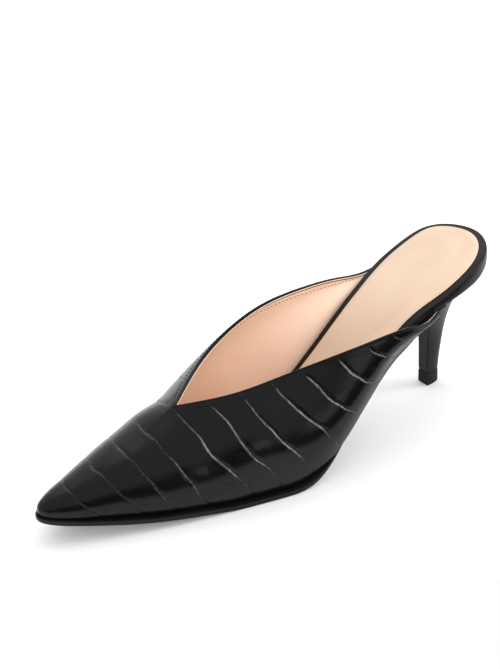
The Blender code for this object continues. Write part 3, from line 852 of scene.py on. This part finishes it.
def sockShape(grid, across, up):
    # The padded oval over the seat: a low cushion with a soft trough round it.
    grid = drawBack(grid, shoe["sockPointBack"], 0.75)
    share, y = grid[..., 0] / length, grid[..., 1]
    oval = np.sqrt(((share - 0.215) / 0.165) ** 2 + ((y - 0.001) / 0.0185) ** 2)
    grid[..., 2] += np.where(up > 0.99, 0.0007 * (1 - ease(oval, 0.80, 1.02)) - 0.00018 * bump(oval, 1.04, 0.07), 0)
    return grid


board = makePlate("boardWrap", plateTurns, plateProfile(boardEdge, boardReach, 14), bed, boardTop, edgeLeather, boardShape)
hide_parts("insole_board")
sock = makePlate(
    "sockLining", plateTurns, plateProfile(sockEdge, lambda x: boardReach(x) - shoe["sockInset"], 60),
    lambda x: boardTop(x) + shoe["clearance"], lambda x: boardTop(x) + shoe["clearance"] + shoe["sockThick"],
    sockLeather, sockShape)
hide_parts("sock_lining")

breast = 0.0420
soleTurns = np.linspace(float(turnOf(breast + 2 * shoe["clearance"])), 1, 240)


def soleShape(grid, across, up):
    return grid


sole = makePlate("outsoleLeather", soleTurns, plateProfile(soleEdge, soleReach, 14), soleUnder, lambda x: bed(x) - shoe["clearance"], soleLeather)
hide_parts("outsole")

# The heel

heelShape = {
    "inset": 0.0006, "tipHeight": 0.0073, "tipBack": 0.0225, "tipLength": 0.0091, "tipWidth": 0.0070,
    "squareness": 0.8, "cornerRound": 0.0007,
}
# height, back, front, side, seat
heelRows = np.array([
    (0.00, 0.000, 0.000, 0.000, 0.00), (0.10, 0.030, 0.000, 0.000, 0.00), (0.24, 0.095, -0.010, 0.005, 0.00),
    (0.38, 0.165, 0.000, 0.030, 0.00), (0.51, 0.250, 0.050, 0.105, 0.00), (0.64, 0.365, 0.140, 0.220, 0.00),
    (0.76, 0.505, 0.280, 0.355, 0.06), (0.85, 0.660, 0.410, 0.490, 0.20), (0.91, 0.805, 0.540, 0.650, 0.45),
    (0.96, 0.932, 0.710, 0.825, 0.75), (1.00, 1.000, 1.000, 1.000, 1.00),
])


def heelSections(height, lowZ=None):
    # Sections of the heel over the heights: a round back and a flat breast, tilted to the seat near the top.
    back, front, sideways, seat = (spline(heelRows[:, 0], heelRows[:, k], height) for k in (1, 2, 3, 4))
    along = np.sin(math.pi / 2 * np.linspace(0, 1, 40))
    share = 1 - np.sqrt(np.clip(1 - along**2, 0, 1))
    tipFront = heelShape["tipBack"] + heelShape["tipLength"]
    xBack = heelShape["tipBack"] + (heelShape["inset"] - heelShape["tipBack"]) * back
    xFront = tipFront + (breast - tipFront) * front
    x = xBack[:, None] + (xFront - xBack)[:, None] * share
    tipSide = heelShape["tipWidth"] / 2 * along ** heelShape["squareness"]
    halves = []
    for side in (1, -1):
        seatSide = np.abs(rim(turnOf(breast * share), side)[:, 1]) * (1 - 2 * heelShape["inset"] / shoe["ballWidth"])
        halves.append(side * (tipSide + (seatSide - tipSide) * sideways[:, None]))
    across = np.linspace(0, 1, 14)[1:-1]
    breastY = halves[0][:, -1:] * (1 - across) + halves[1][:, -1:] * across
    breastX = np.broadcast_to(x[:, -1:], breastY.shape)
    planX = np.concatenate([x, breastX, x[:, ::-1]], axis=1)
    planY = np.concatenate([halves[0], breastY, halves[1][:, ::-1]], axis=1)
    foot = heelShape["tipHeight"] + shoe["clearance"]
    level = bed(np.array([breast / 2]))[0]
    seatZ = level + (bed(planX.ravel()).reshape(planX.shape) - level) * seat[:, None] - shoe["clearance"]
    planZ = foot + (seatZ - foot) * height[:, None]
    return np.stack([planX, planY, planZ], axis=-1)


def closeEnds(grid):
    # Adds a ring fallen to one point at each end, so that the loft is closed.
    low = np.broadcast_to(grid[0].mean(axis=0), grid[0].shape)[None]
    high = np.broadcast_to(grid[-1].mean(axis=0), grid[-1].shape)[None]
    return np.concatenate([low, grid, high])


def makeHeel():
    grid = closeEnds(heelSections(np.linspace(0, 1, 150)))
    points, quads = weld(grid.reshape(-1, 3), gridQuads(*grid.shape[:2], wrap=True))
    heel = makeObject("heelCover", points, quads, wrapLeather, smoothAngle=50)
    soften = heel.modifiers.new("corners", "BEVEL")
    soften.width = heelShape["cornerRound"]
    soften.segments = 3
    soften.limit_method = "ANGLE"
    soften.angle_limit = math.radians(50)
    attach(heel, "root")
    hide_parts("heel")


def makeTip():
    ring = heelSections(np.array([0.0]))[0]
    centre = ring.mean(axis=0)
    rows = []
    for z, scale in ((0.0, 0.95), (0.0002, 0.985), (0.0006, 1.0), (0.0064, 1.0), (0.0067, 0.97), (heelShape["tipHeight"], 0.94)):
        row = centre + (ring - centre) * scale
        row[:, 2] = z
        rows.append(row)
    grid = closeEnds(np.array(rows))
    points, quads = weld(grid.reshape(-1, 3), gridQuads(*grid.shape[:2], wrap=True))
    tip = makeObject("heelTip", points, quads, tipRubber, smoothAngle=40)
    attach(tip, "root")
    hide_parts("heel_tip")


makeHeel()
makeTip()

# Studio

studio = {
    "cameraAt": (0.1742, 0.3465, 0.2725), "yaw": -2.075, "pitch": -0.488, "roll": -0.091, "lens": 54.51,
    "floorSize": 8.0, "floorColour": (0.80, 0.80, 0.80, 1), "floorGlow": 0.12, "floorNear": 0.13,
    "backdrop": (1.0, 1.0, 1.0, 1), "skyBehind": (0.72, 0.735, 0.79, 1), "skyAhead": (0.010, 0.010, 0.012, 1),
    "softRoom": (1.25, 1.25, 1.25, 1),
    "darkSide": (0.25, 0.80, -0.55), "darkFrom": 0.33, "darkTo": 0.60,
}


def makeFloor():
    half = studio["floorSize"]
    corners = np.array([(-half, -half, 0), (half, -half, 0), (half, studio["floorNear"], 0), (-half, studio["floorNear"], 0)], float)
    mesh = bpy.data.meshes.new("floor")
    mesh.from_pydata(corners.tolist(), [], [(0, 1, 2, 3)])
    finish = Finish("floorPaper", **{
        "Roughness": 0.85, "Base Color": studio["floorColour"], "Specular IOR Level": 0.2,
        "Emission Color": (1, 1, 1, 1), "Emission Strength": studio["floorGlow"]})
    mesh.materials.append(finish.material)
    floor = bpy.data.objects.new("floor", mesh)
    bpy.context.scene.collection.objects.link(floor)


def makeLamp(name, at, target, size, power, colour=(1, 1, 1)):
    data = bpy.data.lights.new(name, "AREA")
    data.shape = "RECTANGLE"
    data.size, data.size_y = size
    data.energy = power
    data.color = colour
    lamp = bpy.data.objects.new(name, data)
    bpy.context.scene.collection.objects.link(lamp)
    lamp.location = at
    lamp.rotation_euler = (Vector(target) - Vector(at)).to_track_quat("-Z", "Y").to_euler()


def makeCamera():
    yaw, pitch, roll = studio["yaw"], studio["pitch"], studio["roll"]
    forward = Vector((math.cos(yaw) * math.cos(pitch), math.sin(yaw) * math.cos(pitch), math.sin(pitch)))
    level = forward.cross(Vector((0, 0, 1))).normalized()
    above = level.cross(forward)
    right = level * math.cos(roll) + above * math.sin(roll)
    up = above * math.cos(roll) - level * math.sin(roll)
    data = bpy.data.cameras.new("camera")
    data.lens = studio["lens"]
    data.sensor_width = 36
    data.clip_start = 0.01
    camera = bpy.data.objects.new("camera", data)
    bpy.context.scene.collection.objects.link(camera)
    turn = Matrix((right, up, -forward)).transposed().to_4x4()
    camera.matrix_world = Matrix.Translation(studio["cameraAt"]) @ turn
    bpy.context.scene.camera = camera


def makeWorld():
    # Pale to the camera. The shoe is lit from above and behind, and the camera's side is dark.
    world = bpy.data.worlds.new("studio")
    world.use_nodes = True
    nodes, links = world.node_tree.nodes, world.node_tree.links
    place = nodes.new("ShaderNodeTexCoord")
    toCamera = nodes.new("ShaderNodeVectorMath")
    toCamera.operation = "DOT_PRODUCT"
    toCamera.inputs[1].default_value = Vector(studio["darkSide"]).normalized()
    fade = nodes.new("ShaderNodeMapRange")
    fade.interpolation_type = "SMOOTHSTEP"
    fade.inputs["From Min"].default_value = studio["darkFrom"]
    fade.inputs["From Max"].default_value = studio["darkTo"]
    sky = nodes.new("ShaderNodeMix")
    sky.data_type = "RGBA"
    sky.inputs[6].default_value = studio["skyBehind"]
    sky.inputs[7].default_value = studio["skyAhead"]
    rays = nodes.new("ShaderNodeLightPath")
    seen = nodes.new("ShaderNodeMix")
    seen.data_type = "RGBA"
    seen.inputs[7].default_value = studio["backdrop"]
    links.new(place.outputs["Generated"], toCamera.inputs[0])
    links.new(toCamera.outputs["Value"], fade.inputs["Value"])
    links.new(fade.outputs["Result"], sky.inputs[0])
    room = nodes.new("ShaderNodeMix")
    room.data_type = "RGBA"
    room.inputs[7].default_value = studio["softRoom"]
    links.new(sky.outputs[2], room.inputs[6])
    links.new(rays.outputs["Is Diffuse Ray"], room.inputs[0])
    links.new(room.outputs[2], seen.inputs[6])
    links.new(rays.outputs["Is Camera Ray"], seen.inputs[0])
    links.new(seen.outputs[2], nodes["Background"].inputs[0])
    bpy.context.scene.world = world


makeFloor()
makeLamp("heelSideBox", (-1.15, 0.50, 0.62), (0, 0, 0.03), (0.6, 0.9), 9)
makeLamp("wingCard", (0.04, 0.96, 0.28), (-0.02, 0.03, 0.04), (0.34, 0.30), 0.55)
makeLamp("topBox", (-0.5, -0.9, 1.3), (0, 0, 0), (1.6, 1.2), 6)
makeCamera()
makeWorld()
bpy.context.scene.view_settings.view_transform = "Standard"
print("studio ready")
